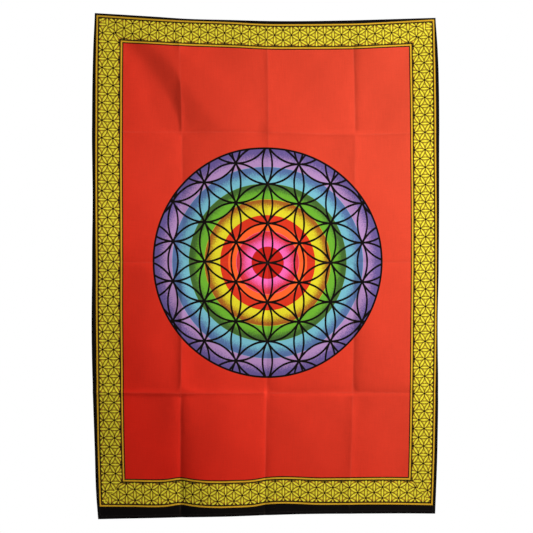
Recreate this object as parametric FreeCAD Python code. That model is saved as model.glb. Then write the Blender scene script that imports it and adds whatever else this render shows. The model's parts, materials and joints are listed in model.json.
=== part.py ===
"""A printed cotton wall hanging: one hemmed rectangle of cloth, hung by its top corners.

Frame: X to the viewer's right, Y into the wall, Z up, in millimetres. The origin is on the
back face of the top hem, midway along it, where the hem meets the wall.

The cloth hangs as the root body from its top hem down to the pressed crease across its
middle. Below that crease it is a second body, which folds up in front of the first.
"""

import FreeCAD, Part
import os

# Driving dimensions, in millimetres.
CLOTH_THICK = 0.35          # one layer of cotton sheeting
HEM_TURNED_LAYERS = 2       # layers that the double-turned hem adds behind the cloth
HEM_WIDTH = 8.0             # from the folded edge to the inner fold
STITCH_FROM_EDGE = 6.5      # from the folded edge to the middle of the stitch line
THREAD_WIDE = 0.4           # sewing thread, flattened by its tension
THREAD_THICK = 0.25

TOP_EDGE_ABOVE_ORIGIN = 4.0  # the top edge is this far above the origin at the middle
TOP_LEFT_RISE = 17.5         # how far each held corner is pulled up above the sagging middle
TOP_RIGHT_RISE = 7.0
TOP_HALF_WIDTH = 373.0       # half the width at the top, the middle and the bottom
MIDDLE_HALF_WIDTH = 379.0
BOTTOM_LEFT_HALF_WIDTH = 366.0
BOTTOM_RIGHT_HALF_WIDTH = 371.0
MIDDLE_LEVEL = -540.0        # where the side edges stand furthest out
BOTTOM_LEFT_DROP = 1091.0    # from the sagging middle of the top edge down to each corner
BOTTOM_MIDDLE_DROP = 1082.5
BOTTOM_RIGHT_DROP = 1078.0

FOLD_LEVEL = -525.0          # the pressed crease across the middle of the cloth

# Depths along Y. The wall is at 0 and everything is in front of it.
HEM_BACK = 0.0
CLOTH_BACK = -HEM_TURNED_LAYERS * CLOTH_THICK
CLOTH_FRONT = CLOTH_BACK - CLOTH_THICK
NEEDLE_THREAD_FRONT = CLOTH_FRONT - THREAD_THICK

# Reach of the cutting shapes, all larger than the cloth.
BEYOND = 60.0
MITRE_REACH = 200.0
HALF_SPACE = 2000.0


def point(x, z):
    """A point of the outline, in the plane of the wall."""
    return FreeCAD.Vector(x, 0.0, z)


TOP = TOP_EDGE_ABOVE_ORIGIN
TOP_LEFT = point(-TOP_HALF_WIDTH, TOP + TOP_LEFT_RISE)
TOP_RIGHT = point(TOP_HALF_WIDTH, TOP + TOP_RIGHT_RISE)
BOTTOM_LEFT = point(-BOTTOM_LEFT_HALF_WIDTH, TOP - BOTTOM_LEFT_DROP)
BOTTOM_RIGHT = point(BOTTOM_RIGHT_HALF_WIDTH, TOP - BOTTOM_RIGHT_DROP)
TOP_MIDDLE = point(0.0, TOP)
BOTTOM_MIDDLE = point(0.0, TOP - BOTTOM_MIDDLE_DROP)
LEFT_MIDDLE = point(-MIDDLE_HALF_WIDTH, MIDDLE_LEVEL)
RIGHT_MIDDLE = point(MIDDLE_HALF_WIDTH, MIDDLE_LEVEL)


def outline():
    """The hanging cloth's edge: a sagging top, sides that stand out, a nearly straight foot."""
    sides = [
        (TOP_LEFT, TOP_MIDDLE, TOP_RIGHT),
        (TOP_RIGHT, RIGHT_MIDDLE, BOTTOM_RIGHT),
        (BOTTOM_RIGHT, BOTTOM_MIDDLE, BOTTOM_LEFT),
        (BOTTOM_LEFT, LEFT_MIDDLE, TOP_LEFT),
    ]
    return Part.Wire([Part.Arc(*side).toShape() for side in sides])


def inset(distance):
    """The cloth's face with a margin of that width taken off all round."""
    wire = outline()
    if distance > 0:
        wire = wire.makeOffset2D(-distance)
    return Part.Face(wire)


def slab(face, front, back):
    """A face in the wall's plane made into a layer between two depths."""
    layer = face.extrude(FreeCAD.Vector(0, back - front, 0))
    layer.translate(FreeCAD.Vector(0, front, 0))
    return layer


def band(outer, inner, front, back):
    """A layer that runs all round the cloth, from one distance inside its edge to another."""
    return slab(inset(outer), front, back).cut(slab(inset(inner), front, back))


def prism(corners):
    """A cutting shape with that outline, deep enough to go through every layer."""
    wire = Part.makePolygon(corners + corners[:1])
    return slab(Part.Face(wire), NEEDLE_THREAD_FRONT - BEYOND, HEM_BACK + BEYOND)


def mitre(corner, side_x, side_z):
    """Two points on the diagonal through a corner: one outside the cloth, one well inside."""
    out = corner + FreeCAD.Vector(side_x * BEYOND, 0, side_z * BEYOND)
    within = corner - FreeCAD.Vector(side_x * MITRE_REACH, 0, side_z * MITRE_REACH)
    return out, within


def side_zones():
    """The four mitred zones that share out the hems and the stitch lines."""
    top_left = mitre(TOP_LEFT, -1, 1)
    top_right = mitre(TOP_RIGHT, 1, 1)
    bottom_left = mitre(BOTTOM_LEFT, -1, -1)
    bottom_right = mitre(BOTTOM_RIGHT, 1, -1)

    def zone(first, second):
        return prism([first[0], second[0], second[1], first[1]])

    return {
        "top": zone(top_left, top_right),
        "bottom": zone(bottom_right, bottom_left),
        "left": zone(bottom_left, top_left),
        "right": zone(top_right, bottom_right),
    }


def halves():
    """The two half spaces above and below the crease across the middle."""
    def half(low, high):
        return prism([
            point(-HALF_SPACE, low),
            point(HALF_SPACE, low),
            point(HALF_SPACE, high),
            point(-HALF_SPACE, high),
        ])

    return {
        "upper": half(FOLD_LEVEL, HALF_SPACE),
        "lower": half(-HALF_SPACE, FOLD_LEVEL),
    }


def cloth_layer():
    """The single layer of printed cotton."""
    return slab(inset(0.0), CLOTH_FRONT, CLOTH_BACK)


def hem_layers():
    """The two turned layers behind the margin, with a groove that the bobbin thread fills."""
    hem = band(0.0, HEM_WIDTH, CLOTH_BACK, HEM_BACK)
    return hem.cut(bobbin_thread())


def stitch_line(front, back):
    """A thread's path all round the cloth, between two depths."""
    return band(
        STITCH_FROM_EDGE - THREAD_WIDE / 2,
        STITCH_FROM_EDGE + THREAD_WIDE / 2,
        front,
        back,
    )


def needle_thread():
    """The thread that shows on the front of the cloth."""
    return stitch_line(NEEDLE_THREAD_FRONT, CLOTH_FRONT)


def bobbin_thread():
    """The thread on the back of the hem, pulled in flush with it."""
    return stitch_line(HEM_BACK - THREAD_THICK, HEM_BACK)


def save(name, shape):
    """Writes one sub-part and prints what it holds."""
    solids = shape.Solids
    body = solids[0] if len(solids) == 1 else Part.makeCompound(solids)
    if not body.isValid():
        raise ValueError(f"{name} is not a valid solid")
    box = body.BoundBox
    body.exportStep(f"parts/{name}.step")
    print(f"{name}: {len(solids)} solid, {body.Volume:.1f} mm3, "
          f"{box.XLength:.1f} x {box.YLength:.2f} x {box.ZLength:.1f} mm")


def build():
    """Cuts every layer into its sides and halves, and writes each piece."""
    os.makedirs("parts", exist_ok=True)
    zones = side_zones()
    half_spaces = halves()
    cloth = cloth_layer()
    for half, space in half_spaces.items():
        save(f"{half}_cloth", cloth.common(space))
    layers = {
        "hem": hem_layers(),
        "needle_thread": needle_thread(),
        "bobbin_thread": bobbin_thread(),
    }
    for kind, layer in layers.items():
        for side, zone in zones.items():
            piece = layer.common(zone)
            if side in ("top", "bottom"):
                save(f"{side}_{kind}", piece)
                continue
            for half, space in half_spaces.items():
                save(f"{side}_{kind}_{half}", piece.common(space))


build()
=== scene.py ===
"""The looks of a printed cotton wall hanging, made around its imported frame.

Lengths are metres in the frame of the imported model: X to the viewer's right, Y into the wall and
Z up. Pieces are first made flat, as they come off the cutting table, and are then hung: on the
table x runs from the cloth's left edge, y is the depth behind the printed face, and z runs down
from the top edge.
"""

import json
import logging
import math
from collections.abc import Iterable, Sequence
from dataclasses import dataclass, field
from enum import Enum

import bmesh
import bpy
import numpy as np
from mathutils import Matrix, Vector


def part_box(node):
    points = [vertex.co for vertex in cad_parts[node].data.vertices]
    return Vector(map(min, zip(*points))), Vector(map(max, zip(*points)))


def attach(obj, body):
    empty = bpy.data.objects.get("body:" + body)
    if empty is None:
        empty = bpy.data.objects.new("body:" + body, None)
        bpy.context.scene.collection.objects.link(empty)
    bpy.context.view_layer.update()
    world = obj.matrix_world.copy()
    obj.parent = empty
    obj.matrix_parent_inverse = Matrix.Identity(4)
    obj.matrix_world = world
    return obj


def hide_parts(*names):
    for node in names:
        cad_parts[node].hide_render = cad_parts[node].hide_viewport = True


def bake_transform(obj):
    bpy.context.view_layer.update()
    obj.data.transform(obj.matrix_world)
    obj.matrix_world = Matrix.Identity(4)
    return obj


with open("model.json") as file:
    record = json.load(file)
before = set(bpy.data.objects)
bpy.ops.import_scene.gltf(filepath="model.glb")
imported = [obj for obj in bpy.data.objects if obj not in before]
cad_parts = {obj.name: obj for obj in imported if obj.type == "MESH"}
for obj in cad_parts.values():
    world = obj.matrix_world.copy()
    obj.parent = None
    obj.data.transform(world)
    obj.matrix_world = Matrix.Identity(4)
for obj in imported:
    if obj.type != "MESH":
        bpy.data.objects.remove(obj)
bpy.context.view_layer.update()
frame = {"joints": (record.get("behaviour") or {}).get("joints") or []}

log = logging.getLogger("wall hanging")

Pair = tuple[float, float]
Knots = tuple[Pair, ...]
Colour = tuple[float, float, float, float]

MM = 0.001
ROOT_3 = math.sqrt(3.0)
WHITE: Colour = (1.0, 1.0, 1.0, 1.0)
BLACK: Colour = (0.0, 0.0, 0.0, 1.0)


class Body(Enum):
    """The two halves of the cloth that the middle fold joins."""

    UPPER = "upper_half"
    LOWER = "lower_half"


class Slot(Enum):
    """The record's material slots."""

    CLOTH = "printed_cotton"
    HEM = "hem_cotton"
    THREAD = "sewing_thread"


class Side(Enum):
    """The four sides of the cloth."""

    TOP = "top"
    BOTTOM = "bottom"
    LEFT = "left"
    RIGHT = "right"

    @property
    def upright(self) -> bool:
        """True for the two sides that run up and down."""
        return self in (Side.LEFT, Side.RIGHT)


# ---------------------------------------------------------------------------------------------
# Curves and the shape of the hanging cloth
# ---------------------------------------------------------------------------------------------


def curve(places: np.ndarray, knots: Knots) -> np.ndarray:
    """Runs a smooth curve through a few knots.

    Args:
        places: where the curve is wanted.
        knots: (place, value) pairs in rising order of place.

    Returns:
        The curve's value at each place, held level beyond the end knots.
    """
    xs, ys = (np.array(column, float) for column in zip(*knots))
    slopes = np.gradient(ys, xs)
    held = np.clip(places, xs[0], xs[-1])
    left = np.clip(np.searchsorted(xs, held, side="right") - 1, 0, len(xs) - 2)
    step = xs[left + 1] - xs[left]
    u = (held - xs[left]) / step
    return (
        ys[left] * (1 + 2 * u) * (1 - u) ** 2
        + slopes[left] * step * u * (1 - u) ** 2
        + ys[left + 1] * u**2 * (3 - 2 * u)
        + slopes[left + 1] * step * u**2 * (u - 1)
    )


def ease(values: np.ndarray, low: float, high: float) -> np.ndarray:
    """Rises smoothly from 0 at low to 1 at high."""
    u = np.clip((values - low) / (high - low), 0.0, 1.0)
    return u * u * (3 - 2 * u)


def soft_cap(values: np.ndarray, limit: np.ndarray | float, softness: float) -> np.ndarray:
    """Bends values over so that they stay under a limit.

    Args:
        values: the values to hold down.
        limit: what they must stay under.
        softness: how far below the limit they start to bend.

    Returns:
        The values, unchanged where they are well under the limit.
    """
    over = (values - limit) / softness
    return limit - softness * np.log1p(np.exp(-over))


def hat(places: np.ndarray, knots: np.ndarray, number: int) -> np.ndarray:
    """1 at one knot, falling to 0 at its neighbours and at the ends of the range from 0 to 1."""
    all_knots = np.concatenate([[0.0], knots, [1.0]])
    values = np.zeros_like(all_knots)
    values[number + 1] = 1.0
    return np.interp(places, all_knots, values)


@dataclass(frozen=True)
class EdgeLine:
    """One edge of a hanging rectangle: a straight line between corners, pushed sideways.

    Attributes:
        start: its first corner, as (x, z).
        end: its last corner.
        outward: the direction in which it is pushed, as (x, z).
        bow: how far it is pushed, as (share along the edge, metres) pairs.
    """

    start: Pair
    end: Pair
    outward: Pair
    bow: Knots

    def at(self, share: np.ndarray) -> np.ndarray:
        """The edge's points at those shares of its length, as rows of x and z."""
        start, end = np.array(self.start), np.array(self.end)
        push = curve(share, self.bow)
        return start + share[:, None] * (end - start) + push[:, None] * np.array(self.outward)


@dataclass(frozen=True)
class Patch:
    """A flat surface filled in between four edges.

    Attributes:
        top: from left to right.
        bottom: from left to right.
        left: from the top down.
        right: from the top down.
    """

    top: EdgeLine
    bottom: EdgeLine
    left: EdgeLine
    right: EdgeLine
    tries: int = 12             # rounds of correction that find a point's shares

    def at(self, across: np.ndarray, down: np.ndarray) -> np.ndarray:
        """The points at those shares of the width and the height, as rows of x and z."""
        s, t = across[:, None], down[:, None]
        between_top_and_bottom = (1 - t) * self.top.at(across) + t * self.bottom.at(across)
        between_sides = (1 - s) * self.left.at(down) + s * self.right.at(down)
        upper = (1 - s) * np.array(self.top.start) + s * np.array(self.top.end)
        lower = (1 - s) * np.array(self.bottom.start) + s * np.array(self.bottom.end)
        return between_top_and_bottom + between_sides - (1 - t) * upper - t * lower

    def shares(self, x: np.ndarray, z: np.ndarray) -> tuple[np.ndarray, np.ndarray]:
        """Finds where points lie on the patch.

        Args:
            x: the points' places to the right.
            z: the points' heights.

        Returns:
            The shares of the width and the height, beyond 0 and 1 outside the patch.
        """
        corner = np.array(self.top.start)
        sides = np.array(self.top.end) - corner, np.array(self.bottom.start) - corner
        back = np.linalg.inv(np.stack(sides, axis=1))
        target = np.stack([x, z], axis=1)
        found = (target - corner) @ back.T
        for _ in range(self.tries):
            found += (target - self.at(found[:, 0], found[:, 1])) @ back.T
        return found[:, 0], found[:, 1]


@dataclass(frozen=True)
class Press:
    """How one panel's length of a crease stands.

    Attributes:
        before: how far the cloth on its left, or above it, rises to it; below zero it falls.
        before_reach: the length over which it does so.
        after: the same for the cloth on its right, or below it.
        after_reach: the length over which that does so.
        broad_reach: the length over which the lower side comes level with the higher one.
        tip: how soft the crease's very edge is.
    """

    before: float
    before_reach: float
    after: float
    after_reach: float
    broad_reach: float = 0.110
    tip: float = 1.2 * MM

    def height(self, past: np.ndarray) -> np.ndarray:
        """How far forward it lifts points that lie so far past it."""
        top = max(self.before, self.after, key=abs)
        steep = np.where(past < 0, self.before, self.after)
        reach = np.where(past < 0, self.before_reach, self.after_reach)
        away = np.hypot(past, self.tip) - self.tip
        return steep * np.exp(-away / reach) + (top - steep) * np.exp(-away / self.broad_reach)


@dataclass(frozen=True)
class Crease:
    """A pressed packing crease that crosses the whole cloth.

    Attributes:
        path: its line, as (place along it, place across it) pairs.
        turns: the places along it where it changes between ridge and valley.
        presses: how it stands between one turn and the next.
        turn_length: the length over which it changes.
    """

    path: Knots
    turns: tuple[float, ...]
    presses: tuple[Press, ...]
    turn_length: float = 16 * MM

    def offset(self, along: np.ndarray, across: np.ndarray) -> np.ndarray:
        """How far points lie past the crease, to the right or downward."""
        return across - curve(along, self.path)

    def height(self, along: np.ndarray, across: np.ndarray) -> np.ndarray:
        """How far forward the crease lifts the cloth.

        Args:
            along: the points' places along the crease.
            across: the points' places across it.

        Returns:
            Metres forward, below zero in a valley.
        """
        past = self.offset(along, across)
        total = np.zeros_like(past)
        half = self.turn_length / 2
        ends = (-math.inf, *self.turns, math.inf)
        for press, start, end in zip(self.presses, ends, ends[1:]):
            share = np.ones_like(along)
            if start > -math.inf:
                share *= ease(along, start - half, start + half)
            if end < math.inf:
                share *= 1 - ease(along, end - half, end + half)
            total += share * press.height(past)
        return total


@dataclass(frozen=True)
class CornerFold:
    """The soft fold that a held corner pulls into the cloth: a ridge with a valley below it.

    Attributes:
        corner: the held corner, as (x, z).
        right: 1 if the cloth runs to the right of the corner, -1 if to the left.
        angle: the fold's direction in degrees below level, by distance from the corner.
        spread: the angle from its middle to its ridge, in degrees.
        height: from its middle to its ridge.
        full: the distance from the corner at which it is highest.
        end: the distance at which it has died out.
        stop: the height of the level crease that it doesn't cross.
        stop_length: the length over which it dies out above that crease.
    """

    corner: Pair
    right: int
    angle: Knots
    spread: float
    height: float
    full: float
    end: float
    stop: float
    stop_length: float = 26 * MM

    def lift(self, x: np.ndarray, z: np.ndarray) -> np.ndarray:
        """How far forward the fold lifts the cloth at those points."""
        run, drop = self.right * (x - self.corner[0]), self.corner[1] - z
        distance = np.hypot(run, drop)
        turn = np.degrees(np.arctan2(drop, run)) - curve(distance, self.angle)
        turn /= self.spread
        swell = ease(distance, 0.0, self.full) * (1 - ease(distance, self.full, self.end))
        swell *= ease(z, self.stop, self.stop + self.stop_length)
        return -self.height * swell * turn * np.exp((1 - turn * turn) / 2)


@dataclass(frozen=True)
class Pillow:
    """A soft bulge of part of a panel.

    Attributes:
        centre: its middle, as (x, z).
        reach: how far it spreads sideways and up and down.
        height: how far forward its middle stands.
    """

    centre: Pair
    reach: Pair
    height: float

    def lift(self, x: np.ndarray, z: np.ndarray) -> np.ndarray:
        """How far forward the bulge lifts the cloth at those points."""
        across, along = (x - self.centre[0]) / self.reach[0], (z - self.centre[1]) / self.reach[1]
        return self.height * np.exp(-(across**2) - along**2)


@dataclass(frozen=True)
class Drape:
    """How the flat cloth hangs: its outline, its creases, its folds and where it stands off.

    Attributes:
        width: the hemmed cloth's flat width.
        length: its flat length.
        cloth: one layer's thickness.
        face: the place in depth of the printed face where the cloth lies against the wall.
        outline: the edges of the cloth as it hangs.
        upright: the upright creases, from left to right.
        level: the level creases, from the top down, measured downward.
        folds: the folds from the held corners.
        pillows: the bulges of single panels.
        fold_axis: the depth and height of the middle fold's axis.
        swells: for each row of panels from the top, the height of its lower end and, from side
            to side, how far it stands off the wall.
    """

    width: float
    length: float
    cloth: float
    face: float
    outline: Patch
    upright: tuple[Crease, ...]
    level: tuple[Crease, ...]
    folds: tuple[CornerFold, ...]
    pillows: tuple[Pillow, ...]
    fold_axis: Pair
    swells: tuple[tuple[float, Knots], ...]

    swell_change: float = 60 * MM       # the length over which one row's swell becomes the next's
    settle: float = 70 * MM             # below the top hem, the length over which it comes away
    most: float = 9.8 * MM              # nothing stands further forward than this
    least: float = 0.05 * MM            # nor closer to the wall than this
    softness: Pair = (0.4 * MM, 0.3 * MM)   # of those two limits
    fold_crease: int = 1                # the level crease in which the cloth folds
    fold_clearance: float = 1.1 * MM    # how far the cloth stays behind the fold's axis
    fold_opening: float = 0.1           # how fast it may stand further off, away from the axis
    held_share: float = 0.04            # of the relief, at the held top hem
    crease_line_width: float = 1.3 * MM        # half the width of the paler line along a crease
    ripple_bend: float = 0.9            # radians by which a ripple's crests wander
    ripple_rows: tuple[tuple[float, float, float, float], ...] = (
        # height in mm, wavelength in m, direction in degrees, phase in radians
        (0.55, 0.310, 62, 0.4), (0.45, 0.190, 158, 2.1), (0.30, 0.121, 24, 4.4),
        (0.20, 0.083, 101, 1.3), (0.10, 0.047, 139, 5.2), (0.06, 0.029, 71, 3.0),
        (0.035, 0.017, 12, 0.9),
    )

    def shares_of_creases(self) -> tuple[np.ndarray, np.ndarray]:
        """The shares of the width and the height at which the creases lie on the mesh."""
        xs = np.array([curve(np.array([self.fold_axis[1]]), c.path)[0] for c in self.upright])
        zs = -np.array([curve(np.array([0.0]), c.path)[0] for c in self.level])
        across, _ = self.outline.shares(xs, np.full_like(xs, self.fold_axis[1]))
        _, down = self.outline.shares(np.zeros_like(zs), zs)
        return across, down

    def plan(self, across: np.ndarray, down: np.ndarray) -> np.ndarray:
        """Where shares of the flat cloth hang, seen from the front.

        The lines of constant share nearest to a crease are drawn onto it, so that a mesh with a
        row or a column at each crease has an edge all along it.

        Args:
            across: shares of the width, from the left.
            down: shares of the length, from the top.

        Returns:
            Rows of x and z.
        """
        points = self.outline.at(across, down)
        crease_across, crease_down = self.shares_of_creases()
        for number, crease in enumerate(self.upright):
            own = np.full_like(down, crease_across[number])
            line = self.outline.at(own, down)
            shift = curve(line[:, 1], crease.path) - line[:, 0]
            points[:, 0] += shift * hat(across, crease_across, number)
        for number, crease in enumerate(self.level):
            own = np.full_like(across, crease_down[number])
            line = self.outline.at(across, own)
            shift = -curve(line[:, 0], crease.path) - line[:, 1]
            points[:, 1] += shift * hat(down, crease_down, number)
        return points

    def ripples(self, x: np.ndarray, z: np.ndarray) -> np.ndarray:
        """The cloth's own unevenness, from broad swells down to small puckers."""
        total = np.zeros_like(x)
        for height, long, turn, phase in self.ripple_rows:
            way = math.radians(turn)
            wave = 2 * math.pi / long * (x * math.cos(way) + z * math.sin(way))
            # the crests bend sideways about once in every two wavelengths
            sideways = 3.1 * x / long * math.sin(way) - 2.3 * z / long * math.cos(way)
            total += height * MM * np.sin(wave + self.ripple_bend * np.sin(sideways) + phase)
        return total

    def swell(self, x: np.ndarray, z: np.ndarray) -> np.ndarray:
        """How far the panels as a whole stand off the wall at those points."""
        half = self.swell_change / 2
        total = np.zeros_like(x)
        upper = math.inf
        for lower, knots in self.swells:
            share = ease(z, lower - half, lower + half)
            if upper < math.inf:
                share -= ease(z, upper - half, upper + half)
            total += share * curve(x, knots)
            upper = lower
        return total

    def lift(self, down: np.ndarray, plan: np.ndarray) -> np.ndarray:
        """How far forward of the flat hang the cloth stands.

        Args:
            down: shares of the length.
            plan: the same points as rows of x and z.

        Returns:
            Metres towards the viewer, never below zero.
        """
        x, z = plan[:, 0], plan[:, 1]
        free = ease(down * self.length, 0.0, self.settle)
        total = self.swell(x, z) + self.ripples(x, z)
        for crease in self.upright:
            total += crease.height(-z, x)
        fold = self.level[self.fold_crease]
        for crease in self.level:
            if crease is not fold:
                total += crease.height(x, -z)
        for part in (*self.folds, *self.pillows):
            total += part.lift(x, z)
        from_axis = np.abs(z - self.fold_axis[1])
        room = self.face - self.fold_axis[0] - self.fold_clearance
        limit = np.minimum(room + self.fold_opening * from_axis, self.most)
        total = soft_cap(total, limit, self.softness[0]) + fold.height(x, -z)
        total = -soft_cap(-total, -self.least, self.softness[1])
        return total * (self.held_share + (1 - self.held_share) * free)

    def place(self, across: np.ndarray, down: np.ndarray, depth: np.ndarray) -> np.ndarray:
        """Hangs points of the flat cloth.

        Args:
            across: shares of the width.
            down: shares of the length.
            depth: metres behind the printed face.

        Returns:
            Rows of x, y and z in the frame.
        """
        plan = self.plan(across, down)
        y = self.face - self.lift(down, plan) + depth
        return np.stack([plan[:, 0], y, plan[:, 1]], axis=1)

    def hang(self, flat: np.ndarray) -> np.ndarray:
        """Hangs rows of points from the cutting table."""
        return self.place(flat[:, 0] / self.width, -flat[:, 2] / self.length, flat[:, 1])

    def near_crease(self, x: np.ndarray, z: np.ndarray) -> np.ndarray:
        """How near those points lie to a crease, from 0 to 1: the print is paler there."""
        near = np.full_like(x, math.inf)
        for crease in self.upright:
            near = np.minimum(near, np.abs(crease.offset(-z, x)))
        for crease in self.level:
            near = np.minimum(near, np.abs(crease.offset(x, -z)))
        return np.exp(-((near / self.crease_line_width) ** 2))


def crowded(knots: Sequence[float], steps: int, crowding: float) -> np.ndarray:
    """Spreads the lines of a mesh so that they crowd towards its creases.

    Args:
        knots: the places of the creases and the two ends, in rising order.
        steps: how many steps to take from each knot to the next.
        crowding: from 0, even, to 1, where the steps next to a knot vanish.

    Returns:
        The places of all the lines.
    """
    even = np.linspace(0.0, 1.0, steps + 1)
    bunched = even - crowding * np.sin(2 * math.pi * even) / (2 * math.pi)
    spans = [low + (high - low) * bunched[:-1] for low, high in zip(knots, knots[1:])]
    return np.concatenate([*spans, [knots[-1]]])


# ---------------------------------------------------------------------------------------------
# Meshes
# ---------------------------------------------------------------------------------------------


def points_of(mesh: bpy.types.Mesh) -> np.ndarray:
    """The mesh's points, one to a row."""
    flat = np.zeros(len(mesh.vertices) * 3)
    mesh.vertices.foreach_get("co", flat)
    return flat.reshape(-1, 3)


def move_points(mesh: bpy.types.Mesh, points: np.ndarray) -> None:
    """Moves the mesh's points to those rows."""
    mesh.vertices.foreach_set("co", points.ravel())
    mesh.update()


def corners_of(mesh: bpy.types.Mesh) -> np.ndarray:
    """The point at each corner of each face."""
    corners = np.zeros(len(mesh.loops), int)
    mesh.loops.foreach_get("vertex_index", corners)
    return corners


def store_layer(mesh: bpy.types.Mesh, name: str, u: np.ndarray, v: np.ndarray) -> None:
    """Stores a UV map that holds two numbers for each corner."""
    mesh.uv_layers.new(name=name).data.foreach_set("uv", np.stack([u, v], axis=1).ravel())


def store_number(mesh: bpy.types.Mesh, name: str, values: np.ndarray) -> None:
    """Stores a number with each point."""
    stored = mesh.attributes.new(name, "FLOAT", "POINT")
    stored.data.foreach_set("value", values.astype(np.float32))


def new_piece(name: str, bm: bmesh.types.BMesh, sharp_degrees: float) -> bpy.types.Object:
    """Turns a bmesh into an object in the scene.

    Args:
        name: the piece's name.
        bm: its shape, which is freed.
        sharp_degrees: edges that turn by more than this stay sharp.

    Returns:
        The object, smooth shaded, at the origin.
    """
    mesh = bpy.data.meshes.new(name)
    bm.to_mesh(mesh)
    bm.free()
    mesh.polygons.foreach_set("use_smooth", [True] * len(mesh.polygons))
    mesh.set_sharp_from_angle(angle=math.radians(sharp_degrees))
    piece = bpy.data.objects.new(name, mesh)
    bpy.context.scene.collection.objects.link(piece)
    return piece


@dataclass(frozen=True)
class Crossing:
    """The short stretch of cloth that bends when the lower half folds up.

    Attributes:
        level: the fold's height.
        half_length: how far the bend reaches above and below it.
    """

    level: float
    half_length: float = 10 * MM

    def join(self, piece: bpy.types.Object) -> None:
        """Bakes the piece's transform into its mesh; it is not joined to either half."""
        start = (0.0, 0.0, self.level + self.half_length)
        end = (0.0, 0.0, self.level - self.half_length)
        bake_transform(piece)


# ---------------------------------------------------------------------------------------------
# Shader maths
# ---------------------------------------------------------------------------------------------


def ink(red: int, green: int, blue: int) -> Colour:
    """A colour as printed, from screen values of 0 to 255 to linear light."""
    def linear(value: float) -> float:
        """One screen value in linear light."""
        share = value / 255
        return share / 12.92 if share <= 0.04045 else ((share + 0.055) / 1.055) ** 2.4

    return linear(red), linear(green), linear(blue), 1.0


class Number:
    """A number that varies over a surface. Sums in Python add Math nodes to its graph."""

    def __init__(self, graph: "Graph", socket: bpy.types.NodeSocket) -> None:
        """Wraps a socket of a graph."""
        self.graph = graph
        self.socket = socket

    def __add__(self, other: "Term") -> "Number":
        """self + other."""
        return self.graph.maths("ADD", self, other)

    __radd__ = __add__

    def __sub__(self, other: "Term") -> "Number":
        """self - other."""
        return self.graph.maths("SUBTRACT", self, other)

    def __rsub__(self, other: "Term") -> "Number":
        """other - self."""
        return self.graph.maths("SUBTRACT", other, self)

    def __mul__(self, other: "Term") -> "Number":
        """self * other."""
        return self.graph.maths("MULTIPLY", self, other)

    __rmul__ = __mul__

    def __truediv__(self, other: "Term") -> "Number":
        """self / other."""
        return self.graph.maths("DIVIDE", self, other)

    def __lt__(self, other: "Term") -> "Number":
        """1 where self is less than other."""
        return self.graph.maths("LESS_THAN", self, other)

    def __abs__(self) -> "Number":
        """The size of self, whatever its sign."""
        return self.graph.maths("ABSOLUTE", self)

    def least(self, other: "Term") -> "Number":
        """The smaller of the two."""
        return self.graph.maths("MINIMUM", self, other)

    def most(self, other: "Term") -> "Number":
        """The larger of the two."""
        return self.graph.maths("MAXIMUM", self, other)

    def wrapped(self, half: float) -> "Number":
        """self brought between -half and half by whole steps."""
        return self.graph.maths("WRAP", self, half, -half)

    def rise(self, low: "Term", high: "Term") -> "Number":
        """Goes smoothly from 0 at low to 1 at high."""
        node = self.graph.node(
            "ShaderNodeMapRange",
            {"interpolation_type": "SMOOTHSTEP"},
            {"Value": self, "From Min": low, "From Max": high},
        )
        return Number(self.graph, node.outputs[0])

    def fall(self, low: "Term", high: "Term") -> "Number":
        """Goes smoothly from 1 at low to 0 at high."""
        return 1 - self.rise(low, high)


Term = Number | float
Paint = bpy.types.NodeSocket | Colour
Stop = tuple[float, Colour]


@dataclass(frozen=True)
class Lattice:
    """What a lattice of overlapping circles gives at each point, in circle radii.

    Attributes:
        petal: the distance outside the nearest petal, below zero inside it.
        centre: the distance from the nearest circle's centre.
    """

    petal: Number
    centre: Number


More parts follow.
